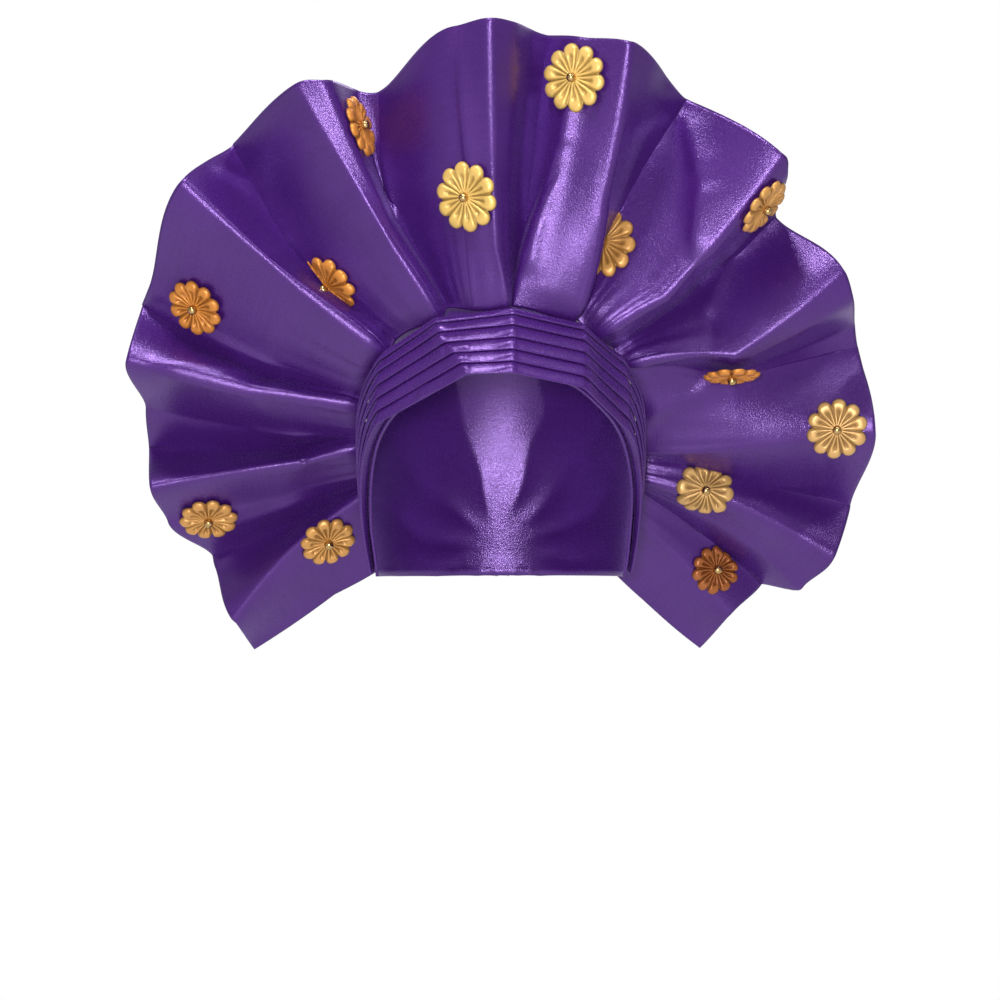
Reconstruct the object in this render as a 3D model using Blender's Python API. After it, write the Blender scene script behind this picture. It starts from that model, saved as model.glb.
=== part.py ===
"""A tied gele head tie: a stiff satin cloth folded into layers over the brow, wrapped round the
head, knotted at the nape and fanned out into a great pleated ruff with gilt leather flowers.

Metres, +Z up, the wearer faces -Y. The origin is the middle of the head, level with the temples.
The ruff is laid out as it is seen from the front: a turn is an angle about its middle, from 0
on the viewer's right through 90 at the top to 180 on the left, and a reach is a distance from it.
"""

import math

import bmesh
import bpy
import numpy as np
from mathutils import Matrix, Vector
from mathutils.bvhtree import BVHTree

# The wrap that goes over the head
CROWN_HEIGHT = 0.088
WRAP_BREADTH = 0.148
WRAP_LENGTH = 0.190
WIDEST_DROP = 0.010
NAPE_DROP = 0.075
NAPE_TAPER = 0.08
CROWN_SQUARENESS = 2.5
WRAP_THICKNESS = 0.0015
WRAP_HEM_SETBACK = 0.002
WRAP_COLUMNS = 36
WRAP_ROWS = 8

# The layered folds over the brow
FOLD_THICKNESS = 0.0011
FOLD_GAP = 0.0005
FOLD_TUCK = 0.35
BAND_STANDOFF = 0.0008
KINK_STANDOFF = 0.0042
KINKS = (-0.43, -0.20, 0.035, 0.245, 0.45)
FACET_STATIONS = 3
SIDE_STATIONS = 7

# The pleated ruff
RUFF_REACH = 0.2290
RUFF_SIDE_SHIFT = 0.002
RUFF_THICKNESS = 0.0013
RUFF_SEAM = 1.07
SEAM_WAVE = 0.09
RIM_WAVE = 0.023
WAVE_GROWTH = 0.62
RIM_LEAN = 0.078
RIM_SWEEP = 0.160
RIM_SWEEP_POWER = 0.70
SEAM_GAP = 0.0012
SEAM_ROUNDNESS = 0.15
RIM_ROUNDNESS = 0.80
WALL_ROUNDNESS = 1.60
WALL_DROP = 1.2
WALL_COLUMNS = (0.0, 0.31, 0.69)
PANEL_TURN = 4.6
WALL_EVENNESS = 0.75
RUFF_ROWS = 12

# The gilt flowers and their beads
FLOWER_DIAMETER = 0.0380
FLOWER_THICKNESS = 0.0013
PETAL_PUFF = 0.0009
PETALS = 10
NOTCH_DEPTH = 0.17
FLOWER_GAP = 0.0005
GAP_STEP = 0.0002
GAP_MARGIN = 0.00015
BEAD_DIAMETER = 0.0052
BEAD_SIDES = 8
BEAD_RINGS = 5
BEAD_GAP = 0.0003

# The knot at the nape
KNOT_SPAN = 0.096
KNOT_HEIGHT = 0.034
KNOT_DEPTH = 0.017
KNOT_SIDES = 10
KNOT_GAP = 0.0004

# The face edge and the ruff's seam, from the middle of the brow round to the nape.
# Heights are shares of the crown height, and a turn of 0 is the middle of the brow.
BAND_ROWS = (
    # edge_turn, edge_height, seam_turn, seam_height
    (0, 0.386, 0, 0.760),
    (17, 0.369, 20, 0.742),
    (34, 0.302, 38, 0.690),
    (47, 0.182, 52, 0.608),
    (59, 0.050, 64, 0.490),
    (68, -0.102, 76, 0.335),
    (75, -0.284, 87, 0.150),
    (80, -0.477, 98, -0.085),
    (84, -0.659, 110, -0.375),
    (88, -0.830, 126, -0.720),
)

# Where each fold of the brow starts between the face edge, 0, and the seam, 1.
FOLD_STARTS = (0.0, 0.185, 0.369, 0.554, 0.739, 0.894)

# The ruff's creases in the order in which they follow each other, from the hem at the viewer's left.
# Depth is a share of the wave, forward for a ridge and back for a valley. Rim reach is a share of
# the ruff's reach, and the elbow is the place, as a share of the way out, where a crease bends.
CREASE_COLUMNS = ("name", "depth", "rim_turn", "rim_reach", "elbow_out", "elbow_turn", "seam_turn")
CREASES = (
    ("left_hem", -0.30, 219.5, 0.791, 0.45, 221.5, 226.5),
    ("ridge_1", 0.75, 213.5, 0.788, 0.55, 207.3, 201.6),
    ("valley_1", -0.80, 201.5, 0.760, 0.50, 201.0, 198.5),
    ("swell_1", 0.00, 193.2, 0.838, 0.45, 193.4, 195.0),
    ("ridge_2", 0.85, 187.5, 0.862, 0.27, 186.0, 182.9),
    ("valley_2", -0.65, 181.0, 0.860, 0.45, 182.3, 181.3),
    ("swell_2", -0.20, 174.5, 0.868, 0.36, 177.4, 180.0),
    ("ridge_3", 0.85, 168.0, 0.928, 0.48, 168.8, 167.2),
    ("valley_3", -0.70, 159.3, 0.930, 0.42, 166.0, 165.0),
    ("swell_3", -0.25, 156.5, 0.929, 0.45, 160.9, 163.4),
    ("ridge_4", 1.00, 141.4, 0.987, 0.45, 143.2, 143.6),
    ("valley_4", -0.80, 132.5, 0.960, 0.34, 140.2, 141.9),
    ("ridge_5", 1.00, 120.3, 0.979, 0.30, 120.1, 118.4),
    ("valley_5", -1.00, 109.6, 0.881, 0.60, 115.2, 117.0),
    ("swell_5", 0.60, 96.6, 0.985, 0.45, 98.0, 103.0),
    ("ridge_6", 1.05, 92.0, 0.996, 0.21, 92.7, 88.7),
    ("valley_6", -0.75, 83.8, 0.966, 0.25, 84.6, 87.3),
    ("swell_6", 0.30, 79.0, 0.972, 0.50, 77.8, 85.5),
    ("ridge_7", 1.00, 72.6, 0.988, 0.45, 67.9, 59.9),
    ("valley_7", -0.85, 62.0, 0.922, 0.30, 64.7, 58.6),
    ("ridge_8", 1.05, 45.8, 0.948, 0.30, 41.6, 49.0),
    ("valley_8", -0.90, 39.5, 0.840, 0.42, 38.6, 35.5),
    ("ridge_9", 0.95, 26.5, 0.906, 0.45, 20.2, 32.4),
    ("valley_9", -0.85, 15.0, 0.878, 0.42, 16.0, 29.0),
    ("ridge_10", 0.80, 1.5, 0.893, 0.42, -0.8, -5.6),
    ("valley_10", -0.50, -10.5, 0.852, 0.52, -8.8, -8.8),
    ("ridge_11", 0.65, -19.5, 0.846, 0.50, -15.2, -16.4),
    ("swell_11", 0.15, -26.0, 0.806, 0.50, -20.5, -19.0),
    ("valley_11", -0.40, -28.6, 0.712, 0.50, -24.5, -21.0),
    ("ridge_12", 0.35, -37.5, 0.690, 0.50, -34.0, -31.0),
    ("right_hem", -0.30, -46.3, 0.690, 0.45, -48.8, -52.0),
)

# The flowers: the crease that each lies after, the share of the way across to the next crease,
# the share of the way out from the seam to the rim, its size, its turn in its own plane and how
# stiffly it lies, from 0 where it bends with the cloth to 1 where it stays flat.
FLOWERS = (
    # crease, across, out, size, spin, stiffness
    ("left_hem", 0.72, 0.34, 0.84, 8, 0.85),
    ("valley_1", 0.85, 0.81, 0.86, 20, 0.85),
    ("swell_3", 0.20, 0.78, 0.88, 4, 0.85),
    ("ridge_4", 0.88, 0.34, 0.95, 12, 0.00),
    ("ridge_5", 0.50, 0.82, 0.92, 0, 0.60),
    ("swell_5", 0.13, 0.40, 1.02, 0, 0.92),
    ("swell_6", 0.04, 0.85, 1.00, 14, 0.70),
    ("valley_7", 0.05, 0.32, 1.00, 6, 0.00),
    ("ridge_8", 0.66, 0.84, 0.90, 16, 0.30),
    ("ridge_9", 0.52, 0.43, 0.84, 0, 0.50),
    ("valley_9", 0.87, 0.84, 0.90, 10, 0.75),
    ("valley_10", 0.82, 0.34, 0.90, 3, 0.40),
    ("valley_11", 0.56, 0.73, 0.74, 18, 0.25),
)

# The knot's outline across the nape, as shares of its span, height and depth.
KNOT_ROWS = (
    # along, height, depth
    (-0.50, 0.62, 0.30),
    (-0.38, 0.95, 0.42),
    (-0.24, 0.72, 0.55),
    (-0.13, 0.42, 0.62),
    (-0.10, 0.78, 0.92),
    (0.00, 0.88, 1.00),
    (0.10, 0.78, 0.92),
    (0.13, 0.42, 0.62),
    (0.24, 0.72, 0.55),
    (0.38, 0.95, 0.42),
    (0.50, 0.62, 0.30),
)


def material(name, colour, roughness, metallic):
    """A plain finish for one kind of piece."""
    made = bpy.data.materials.new(name)
    made.use_nodes = True
    shader = made.node_tree.nodes["Principled BSDF"]
    shader.inputs["Base Color"].default_value = (*colour, 1.0)
    shader.inputs["Roughness"].default_value = roughness
    shader.inputs["Metallic"].default_value = metallic
    return made


def piece(name, mesh_data, finish):
    """Puts a bmesh in the scene as one named object with its finish."""
    bmesh.ops.recalc_face_normals(mesh_data, faces=mesh_data.faces)
    mesh = bpy.data.meshes.new(name)
    mesh_data.to_mesh(mesh)
    mesh_data.free()
    mesh.shade_smooth()
    mesh.set_sharp_from_angle(angle=math.radians(40))
    made = bpy.data.objects.new(name, mesh)
    made.data.materials.append(finish)
    bpy.context.scene.collection.objects.link(made)
    return made


def thicken(made, thickness, side):
    """Gives an open sheet its wall, to the side that its faces look to, 1, or away from it, -1."""
    wall = made.modifiers.new("wall", "SOLIDIFY")
    wall.thickness = thickness
    wall.offset = side
    wall.use_even_offset = False
    wall.use_rim = True


def grid_sheet(rows, closed=False):
    """A sheet through rows of points, closed across the rows where it goes all the way round."""
    mesh_data = bmesh.new()
    corners = [[mesh_data.verts.new(point) for point in row] for row in rows]
    for lower, upper in zip(corners, corners[1:]):
        spans = len(lower) if closed else len(lower) - 1
        for k in range(spans):
            n = (k + 1) % len(lower)
            mesh_data.faces.new((lower[k], lower[n], upper[n], upper[k]))
    return mesh_data, corners


def along_rows(values, place):
    """A smooth curve through a column of values, one a row, at a place counted in rows."""
    last = len(values) - 1
    place = min(max(place, 0.0), float(last))
    k = min(int(place), last - 1)
    f = place - k
    before = values[k - 1] if k > 0 else 2 * values[0] - values[1]
    after = values[k + 2] if k + 2 <= last else 2 * values[last] - values[last - 1]
    start, end = values[k], values[k + 1]
    return start + 0.5 * f * (
        end - before + f * (2 * before - 5 * start + 4 * end - after + f * (3 * (start - end) + after - before))
    )


def blend(start, end, share):
    return start + (end - start) * share


def eased(share, roundness):
    """Runs from 0 to 1, straight where roundness is 0, level at both ends at 1 and steeper between at 2."""
    once = share * share * (3 - 2 * share)
    twice = once * once * (3 - 2 * once)
    return blend(share, once, roundness) if roundness < 1 else blend(once, twice, roundness - 1)


# The wrap over the head


def wrap_scale(height):
    """The wrap's girth at a height, as a share of its widest."""
    if height >= -WIDEST_DROP:
        rise = min((height + WIDEST_DROP) / (CROWN_HEIGHT + WIDEST_DROP), 1.0)
        return (1 - rise**CROWN_SQUARENESS) ** (1 / CROWN_SQUARENESS)
    fall = (-WIDEST_DROP - height) / (NAPE_DROP - WIDEST_DROP)
    return 1 - NAPE_TAPER * fall * fall


def wrap_point(turn, height, lift=0.0):
    """A point on the wrap's outside, or lifted off it, at a turn in degrees from the brow's middle."""
    scale = wrap_scale(height)
    half_breadth, half_length = WRAP_BREADTH / 2, WRAP_LENGTH / 2
    side, front = math.sin(math.radians(turn)), math.cos(math.radians(turn))
    x, y = half_breadth * scale * side, -half_length * scale * front
    step = CROWN_HEIGHT * 0.002
    slope = (wrap_scale(height + step) - wrap_scale(height - step)) / (2 * step)
    outward = Vector((x / half_breadth**2, y / half_length**2, -scale * slope))
    return Vector((x, y, height)) + outward.normalized() * lift


def band_point(along, across, lift=0.0):
    """A point of the brow band: along runs from -1 to 1 round the brow, across from the face to the seam."""
    place = abs(along) * (len(BAND_ROWS) - 1)
    edge_turn, edge_height, seam_turn, seam_height = (
        along_rows(column, place) for column in zip(*BAND_ROWS)
    )
    turn = blend(edge_turn, seam_turn, across)
    height = blend(edge_height, seam_height, across) * CROWN_HEIGHT
    return wrap_point(math.copysign(turn, along), height, lift)


def edge_height_at(turn):
    """The height of the wrap's lower edge: the face edge in front, then level round the nape."""
    turns = [row[0] for row in BAND_ROWS]
    low, high = 0.0, float(len(turns) - 1)
    if turn >= turns[-1]:
        return -NAPE_DROP
    for _ in range(30):
        middle = (low + high) / 2
        if along_rows(turns, middle) < turn:
            low = middle
        else:
            high = middle
    height = along_rows([row[1] for row in BAND_ROWS], low) * CROWN_HEIGHT
    return max(height + WRAP_HEM_SETBACK, -NAPE_DROP)


def crown_wrap(finish):
    """The cloth that goes over the head, from the face edge over the crown to the nape."""
    turns = [360 * k / WRAP_COLUMNS - 180 for k in range(WRAP_COLUMNS)]
    edges = [edge_height_at(abs(turn)) for turn in turns]
    crown_row = CROWN_HEIGHT * 0.985
    rows = []
    for j in range(WRAP_ROWS + 1):
        climb = math.sin(math.pi / 2 * j / WRAP_ROWS)
        rows.append([wrap_point(turn, blend(edge, crown_row, climb)) for turn, edge in zip(turns, edges)])
    mesh_data, corners = grid_sheet(rows, closed=True)
    top = mesh_data.verts.new((0, 0, CROWN_HEIGHT))
    for k in range(WRAP_COLUMNS):
        mesh_data.faces.new((corners[-1][k], corners[-1][(k + 1) % WRAP_COLUMNS], top))
    made = piece("crown_wrap", mesh_data, finish)
    thicken(made, WRAP_THICKNESS, -1)
    return made


# The folds over the brow


def fold_lift(across, start, end):
    """How far a fold's inner face stands off the wrap: on the fold below at its start, low at its tuck."""
    pitch_share = 1 / (1 + FOLD_TUCK)
    step_up = (FOLD_THICKNESS + FOLD_GAP) / pitch_share
    width = (end - start) * (1 + FOLD_TUCK)
    flare = BAND_STANDOFF * across * across
    return FOLD_GAP + flare + step_up * (1 - (across - start) / width)


def fold_point(along, across, lift):
    """A point of a fold, which runs straight from kink to kink over the brow and round at the sides."""
    stand = KINK_STANDOFF * (1 - across / 8)
    if KINKS[0] < along < KINKS[-1]:
        right = next(k for k in range(1, len(KINKS)) if along <= KINKS[k])
        share = (along - KINKS[right - 1]) / (KINKS[right] - KINKS[right - 1])
        ends = [band_point(KINKS[k], across, lift + stand) for k in (right - 1, right)]
        return ends[0].lerp(ends[1], share)
    fade = (1 - abs(along)) / (1 - min(abs(KINKS[0]), KINKS[-1]))
    return band_point(along, across, lift + stand * min(fade, 1.0))


def fold_stations():
    """The places along a fold that have a column of points: its kinks, and evenly spaced ones between."""
    ends = [np.linspace(-1.0, KINKS[0], SIDE_STATIONS), np.linspace(KINKS[-1], 1.0, SIDE_STATIONS)]
    facets = [np.linspace(left, right, FACET_STATIONS + 1)[1:] for left, right in zip(KINKS, KINKS[1:])]
    return [*ends[0], *np.concatenate(facets), *ends[1][1:]]


def brow_fold(number, start, end, finish):
    """One folded layer across the brow, tucked at its upper edge under the next."""
    tuck_end = start + (end - start) * (1 + FOLD_TUCK) if end < 1 else end
    rows = []
    for share in (0.0, 0.45, 1.0):
        across = blend(start, tuck_end, share)
        lifts = [(along, fold_lift(across, start, end)) for along in fold_stations()]
        rows.append([fold_point(along, across, lift) for along, lift in lifts])
    mesh_data, _ = grid_sheet(rows)
    made = piece(f"brow_fold_{number}", mesh_data, finish)
    face_out(made, Vector((0, 0, 0)))
    thicken(made, FOLD_THICKNESS, 1)
    return made


def face_out(made, inside):
    """Turns a sheet's faces away from a point inside it."""
    mesh = made.data
    leaning = sum((polygon.center - inside).dot(polygon.normal) for polygon in mesh.polygons)
    if leaning < 0:
        mesh.flip_normals()


# The ruff


def rim_depth(turn):
    """How far back the rim lies, before its wave: forward over the brow, swept back at the hems."""
    lowest = math.sin(math.radians(CREASES[0][2]))
    fall = (1 - math.sin(math.radians(turn))) / (1 - lowest)
    return -RIM_LEAN + RIM_SWEEP * fall**RIM_SWEEP_POWER


def front_turn(point):
    """The turn at which a point is seen from the front, from -90 to 270 degrees."""
    turn = math.degrees(math.atan2(point.z, point.x - RUFF_SIDE_SHIFT))
    return turn if turn > -90 else turn + 360


def seam_place(turn):
    """The place along the seam that is seen from the front at a turn."""
    low, high = -1.0, 1.0
    for _ in range(40):
        middle = (low + high) / 2
        if front_turn(band_point(middle, RUFF_SEAM)) > turn:
            low = middle
        else:
            high = middle
    return (low + high) / 2


def is_wall(left, right):
    """Whether the cloth between two creases is the steep side of a pleat."""
    return left["depth"] - right["depth"] > WALL_DROP


def ruff_columns():
    """The controls of every column of the ruff, worked out between one crease and the next."""
    creases = [dict(zip(CREASE_COLUMNS, row)) for row in CREASES]
    for crease in creases:
        crease["along"] = seam_place(crease["seam_turn"])
    columns, starts = [], {}
    for left, right in zip(creases, creases[1:]):
        starts[left["name"]] = len(columns)
        steps = max(3, math.ceil(abs(left["rim_turn"] - right["rim_turn"]) / PANEL_TURN))
        shares = WALL_COLUMNS if is_wall(left, right) else [k / steps for k in range(steps)]
        columns += [(left, right, share) for share in shares]
    starts[creases[-1]["name"]] = len(columns)
    columns.append((creases[-2], creases[-1], 1.0))
    return columns, starts


def ruff_point(column, out):
    """A point on the front of the ruff, a share of the way out from the seam to the rim."""
    left, right, share = column
    rim_roundness = WALL_ROUNDNESS if is_wall(left, right) else RIM_ROUNDNESS
    roundness = blend(SEAM_ROUNDNESS, rim_roundness, out)
    depth = blend(left["depth"], right["depth"], eased(share, roundness))
    seam_depth = blend(left["depth"], right["depth"], eased(share, SEAM_ROUNDNESS))
    along = blend(left["along"], right["along"], share)
    seam = band_point(along, RUFF_SEAM + SEAM_WAVE * (1 - seam_depth), SEAM_GAP)
    seam_turn, seam_reach = front_turn(seam), math.hypot(seam.x - RUFF_SIDE_SHIFT, seam.z)
    rim_turn = blend(left["rim_turn"], right["rim_turn"], share)
    rim_reach = RUFF_REACH * blend(left["rim_reach"], right["rim_reach"], eased(share, 1.0))
    elbow_out = blend(left["elbow_out"], right["elbow_out"], share)
    elbow_turn = blend(left["elbow_turn"], right["elbow_turn"], share)
    if out < elbow_out:
        turn = blend(seam_turn, elbow_turn, out / elbow_out)
    else:
        turn = blend(elbow_turn, rim_turn, (out - elbow_out) / (1 - elbow_out))
    reach = blend(seam_reach, rim_reach, out)
    y = blend(seam.y, rim_depth(rim_turn), out) - RIM_WAVE * depth * out**WAVE_GROWTH
    angle = math.radians(turn)
    return Vector((RUFF_SIDE_SHIFT + reach * math.cos(angle), y, reach * math.sin(angle)))


def ruff_grid():
    """Rows of points over the front of the ruff, from the seam to the rim."""
    columns, starts = ruff_columns()
    shares = [(j / RUFF_ROWS) ** 1.15 for j in range(RUFF_ROWS + 1)]
    return [[ruff_point(column, share) for column in columns] for share in shares], shares, starts


def front_of(grid, thickness):
    """The same rows of points moved forward by the cloth's thickness, square to the cloth."""
    back = np.array([[tuple(point) for point in row] for row in grid])
    faces = np.cross(back[:-1, 1:] - back[1:, :-1], back[1:, 1:] - back[:-1, :-1])
    faces /= np.linalg.norm(faces, axis=2, keepdims=True)
    faces *= -np.sign(faces[:, :, 1].sum())
    padded = np.pad(faces, ((1, 1), (1, 1), (0, 0)), mode="edge")
    around = [padded[:-1, :-1], padded[:-1, 1:], padded[1:, :-1], padded[1:, 1:]]
    square = sum(around)
    square /= np.linalg.norm(square, axis=2, keepdims=True)
    lean = np.minimum.reduce([(square * face).sum(axis=2) for face in around])
    return back + square * (thickness / np.maximum(lean, WALL_EVENNESS))[:, :, None]


def ruff(back, front, finish):
    """The pleated cloth that stands up from the seam and fans out round the head."""
    mesh_data, behind = grid_sheet(back)
    before = [[mesh_data.verts.new(point) for point in row] for row in front]
    for lower, upper in zip(before, before[1:]):
        for k in range(len(lower) - 1):
            mesh_data.faces.new((lower[k], upper[k], upper[k + 1], lower[k + 1]))
    for k in range(len(before[0]) - 1):
        mesh_data.faces.new((behind[0][k], before[0][k], before[0][k + 1], behind[0][k + 1]))
        mesh_data.faces.new((behind[-1][k], behind[-1][k + 1], before[-1][k + 1], before[-1][k]))
    for j in range(len(before) - 1):
        mesh_data.faces.new((behind[j][0], behind[j + 1][0], before[j + 1][0], before[j][0]))
        mesh_data.faces.new((behind[j][-1], before[j][-1], before[j + 1][-1], behind[j + 1][-1]))
    bmesh.ops.triangulate(mesh_data, faces=mesh_data.faces, quad_method="SHORT_EDGE")
    tree = BVHTree.FromBMesh(mesh_data)
    return piece("pleated_ruff", mesh_data, finish), tree


# The flowers and beads


class RuffSurface:
    """The front of the ruff as built, so that what is sewn to it follows its facets."""

    def __init__(self, grid, shares, starts):
        self.points, self.shares, self.starts = grid, shares, starts

    def at(self, row, column):
        rows, columns = self.points.shape[:2]
        row, column = min(max(row, 0), rows - 1.001), min(max(column, 0), columns - 1.001)
        j, i = int(row), int(column)
        g, f = row - j, column - i
        lower = blend(self.points[j, i], self.points[j, i + 1], f)
        upper = blend(self.points[j + 1, i], self.points[j + 1, i + 1], f)
        return blend(lower, upper, g)

    def step_row(self, row, column, distance):
        """The row that lies a distance further out."""
        pace = np.linalg.norm(self.at(row + 0.5, column) - self.at(row - 0.5, column))
        return row + distance / pace

    def step_column(self, row, column, distance):
        """The column that lies a distance further clockwise along the cloth."""
        sign, left, pace = math.copysign(1, distance), abs(distance), 0.1
        here = self.at(row, column)
        while left > 0:
            there = self.at(row, column + sign * pace)
            gone = np.linalg.norm(there - here)
            if gone >= left or gone < 1e-9:
                return column + sign * pace * (left / gone if gone > 1e-9 else 0)
            left, column, here = left - gone, column + sign * pace, there
        return column

    def lie(self, row, column, reach):
        """The ways clockwise, outward and square to the cloth at a place, over a reach to each side."""
        ends = []
        for across, out in ((reach, 0), (-reach, 0), (0, reach), (0, -reach)):
            r = self.step_row(row, column, out)
            ends.append(self.at(r, self.step_column(r, column, across) if across else column))
        clockwise, outward = Vector(ends[0] - ends[1]).normalized(), Vector(ends[2] - ends[3])
        square = clockwise.cross(outward).normalized()
        return clockwise, square.cross(clockwise), square

    def sewn(self, row, column, across, out, lift):
        """A point beside a place on the cloth, measured along the cloth, and lifted off its front."""
        r = self.step_row(row, column, out)
        c = self.step_column(r, column, across)
        return Vector(self.at(r, c)) + self.lie(r, c, FLOWER_DIAMETER * 0.09)[2] * lift

    def laid(self, row, column, across, out, lift, stiffness):
        """A point of a piece that stays partly flat over a place on the cloth."""
        clockwise, outward, square = self.lie(row, column, FLOWER_DIAMETER * 0.24)
        flat = Vector(self.at(row, column)) + clockwise * across + outward * out + square * lift
        return self.sewn(row, column, across, out, lift).lerp(flat, stiffness)

    def place(self, crease, across, out):
        names = [row[0] for row in CREASES]
        start, end = self.starts[crease], self.starts[names[names.index(crease) + 1]]
        row = float(np.interp(out, self.shares, range(len(self.shares))))
        return row, blend(start, end, across)


def laid_close(make, gap, *under):
    """Makes a piece at a gap over what is under it, lifted in small steps until it is just clear."""
    while any(BVHTree.FromBMesh(make(gap)).overlap(other) for other in under):
        gap += GAP_STEP
    made = make(gap + GAP_MARGIN)
    return made, BVHTree.FromBMesh(made), gap + GAP_MARGIN


def flower_shape(surface, row, column, size, spin, stiffness, gap):
    """A flower of padded leather, cut in round petals, that follows the cloth under it."""
    radius = FLOWER_DIAMETER / 2 * size
    turn = 2 * math.pi / PETALS

    def spot(share, angle, height):
        angle += math.radians(spin)
        across, out = radius * share * math.cos(angle), radius * share * math.sin(angle)
        return [surface.laid(row, column, across, out, gap + lift, stiffness) for lift in (0, height)]

    flat, raised = FLOWER_THICKNESS, FLOWER_THICKNESS + PETAL_PUFF
    places = [spot(0, 0, flat)]
    for k in range(PETALS):
        places += [
            spot(0.52, k * turn, flat),
            spot(0.58, (k + 0.5) * turn, raised),
            spot(1 - NOTCH_DEPTH, k * turn, flat),
            spot(0.98, (k + 0.30) * turn, flat),
            spot(0.98, (k + 0.70) * turn, flat),
        ]
    mesh_data = bmesh.new()
    corners = [mesh_data.verts.new(low) for low, _ in places]
    for k in range(PETALS):
        inner, middle, notch, first, second = corners[1 + 5 * k : 6 + 5 * k]
        next_inner, _, next_notch = corners[1 + 5 * ((k + 1) % PETALS) :][:3]
        for corner_set in (
            (corners[0], inner, middle),
            (corners[0], middle, next_inner),
            (inner, notch, first),
            (inner, first, middle),
            (middle, first, second),
            (middle, second, next_inner),
            (next_inner, second, next_notch),
        ):
            mesh_data.faces.new(corner_set)
    faces = list(mesh_data.faces)
    top = bmesh.ops.extrude_face_region(mesh_data, geom=faces, use_keep_orig=True)["geom"]
    lifted = [g for g in top if isinstance(g, bmesh.types.BMVert)]
    for corner in lifted:
        _, high = min(places, key=lambda pair: (pair[0] - corner.co).length)
        corner.co = high
    bmesh.ops.triangulate(mesh_data, faces=mesh_data.faces)
    return mesh_data


def bead_shape(surface, row, column, stiffness, gap):
    """The gilt bead in the middle of a flower, its lowest point at a gap over the cloth."""
    radius = BEAD_DIAMETER / 2
    centre = surface.laid(row, column, 0, 0, gap + radius, stiffness)
    outward = (centre - surface.laid(row, column, 0, 0, 0, stiffness)).normalized()
    place = Matrix.Translation(centre) @ outward.to_track_quat("Z", "Y").to_matrix().to_4x4()
    mesh_data = bmesh.new()
    bmesh.ops.create_uvsphere(
        mesh_data, u_segments=BEAD_SIDES, v_segments=BEAD_RINGS, radius=radius, matrix=place
    )
    bmesh.ops.triangulate(mesh_data, faces=mesh_data.faces)
    return mesh_data


def flower_and_bead(number, surface, cloth, crease, across, out, size, spin, stiffness, leather, metal):
    """A flower laid on the cloth and the bead laid on the flower."""
    row, column = surface.place(crease, across, out)
    shape, petals, gap = laid_close(
        lambda gap: flower_shape(surface, row, column, size, spin, stiffness, gap), FLOWER_GAP, cloth
    )
    piece(f"flower_{number:02d}", shape, leather)
    gap += FLOWER_THICKNESS + BEAD_GAP
    shape, _, _ = laid_close(
        lambda gap: bead_shape(surface, row, column, stiffness, gap), gap, cloth, petals
    )
    piece(f"flower_bead_{number:02d}", shape, metal)


# The knot at the nape


def nape_knot(finish):
    """The tied ends at the nape: a tight middle with a flat loop to each side, lying on the wrap."""
    level = -NAPE_DROP + KNOT_HEIGHT / 2
    rings = []
    for along, height_share, depth_share in KNOT_ROWS:
        x = along * KNOT_SPAN
        half_height, depth = KNOT_HEIGHT * height_share / 2, KNOT_DEPTH * depth_share
        ring = []
        for k in range(KNOT_SIDES):
            angle = 2 * math.pi * k / KNOT_SIDES
            z = level + half_height * math.sin(angle)
            stand_off = KNOT_GAP + depth * (1 + math.cos(angle)) / 2
            turn = 180 - math.degrees(math.asin(x / (WRAP_BREADTH / 2 * wrap_scale(level))))
            ring.append(wrap_point(turn, z, stand_off))
        rings.append(ring)
    mesh_data, corners = grid_sheet(rings, closed=True)
    for end in (corners[0], corners[-1]):
        mesh_data.faces.new(end)
    return piece("nape_knot", mesh_data, finish)


def build():
    for old in list(bpy.data.objects):
        bpy.data.objects.remove(old)
    satin = material("purple_satin", (0.105, 0.026, 0.270), 0.34, 0.15)
    leather = material("gilt_leather", (0.620, 0.400, 0.110), 0.45, 0.25)
    metal = material("bead_gold", (0.560, 0.380, 0.160), 0.22, 1.0)
    crown_wrap(satin)
    ends = FOLD_STARTS[1:] + (1.0,)
    for number, (start, end) in enumerate(zip(FOLD_STARTS, ends), 1):
        brow_fold(number, start, end, satin)
    back, shares, starts = ruff_grid()
    front = front_of(back, RUFF_THICKNESS)
    _, cloth = ruff(back, front, satin)
    surface = RuffSurface(front, shares, starts)
    for number, row in enumerate(FLOWERS, 1):
        flower_and_bead(number, surface, cloth, *row, leather, metal)
    nape_knot(satin)


build()
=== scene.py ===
"""A tied gele head tie: stiff purple satin folded over the brow, wrapped round the head, knotted at the
nape and fanned out into a great pleated ruff with gilt flowers. Metres, +Z up, open front to -Y."""

import math

import bmesh
import bpy
import numpy as np
from mathutils import Matrix, Vector, noise
from mathutils.bvhtree import BVHTree


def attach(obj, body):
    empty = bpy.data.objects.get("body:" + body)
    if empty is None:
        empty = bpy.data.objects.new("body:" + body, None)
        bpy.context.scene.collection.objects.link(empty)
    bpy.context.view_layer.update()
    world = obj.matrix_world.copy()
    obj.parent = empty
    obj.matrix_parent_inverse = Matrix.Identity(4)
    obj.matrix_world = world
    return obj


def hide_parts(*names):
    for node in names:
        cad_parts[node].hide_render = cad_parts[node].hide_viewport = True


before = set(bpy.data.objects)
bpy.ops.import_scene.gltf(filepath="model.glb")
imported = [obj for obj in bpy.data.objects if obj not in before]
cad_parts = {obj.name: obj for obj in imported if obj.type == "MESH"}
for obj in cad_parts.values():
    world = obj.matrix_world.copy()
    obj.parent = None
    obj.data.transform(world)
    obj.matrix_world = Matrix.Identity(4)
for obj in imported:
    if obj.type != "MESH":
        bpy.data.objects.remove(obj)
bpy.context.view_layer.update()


# The cloth over the head
# One layer of stiff satin drawn from the brow over the crown to the nape. Its slack runs in long folds to
# the knot, and its lower edge is a turned hem.

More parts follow.
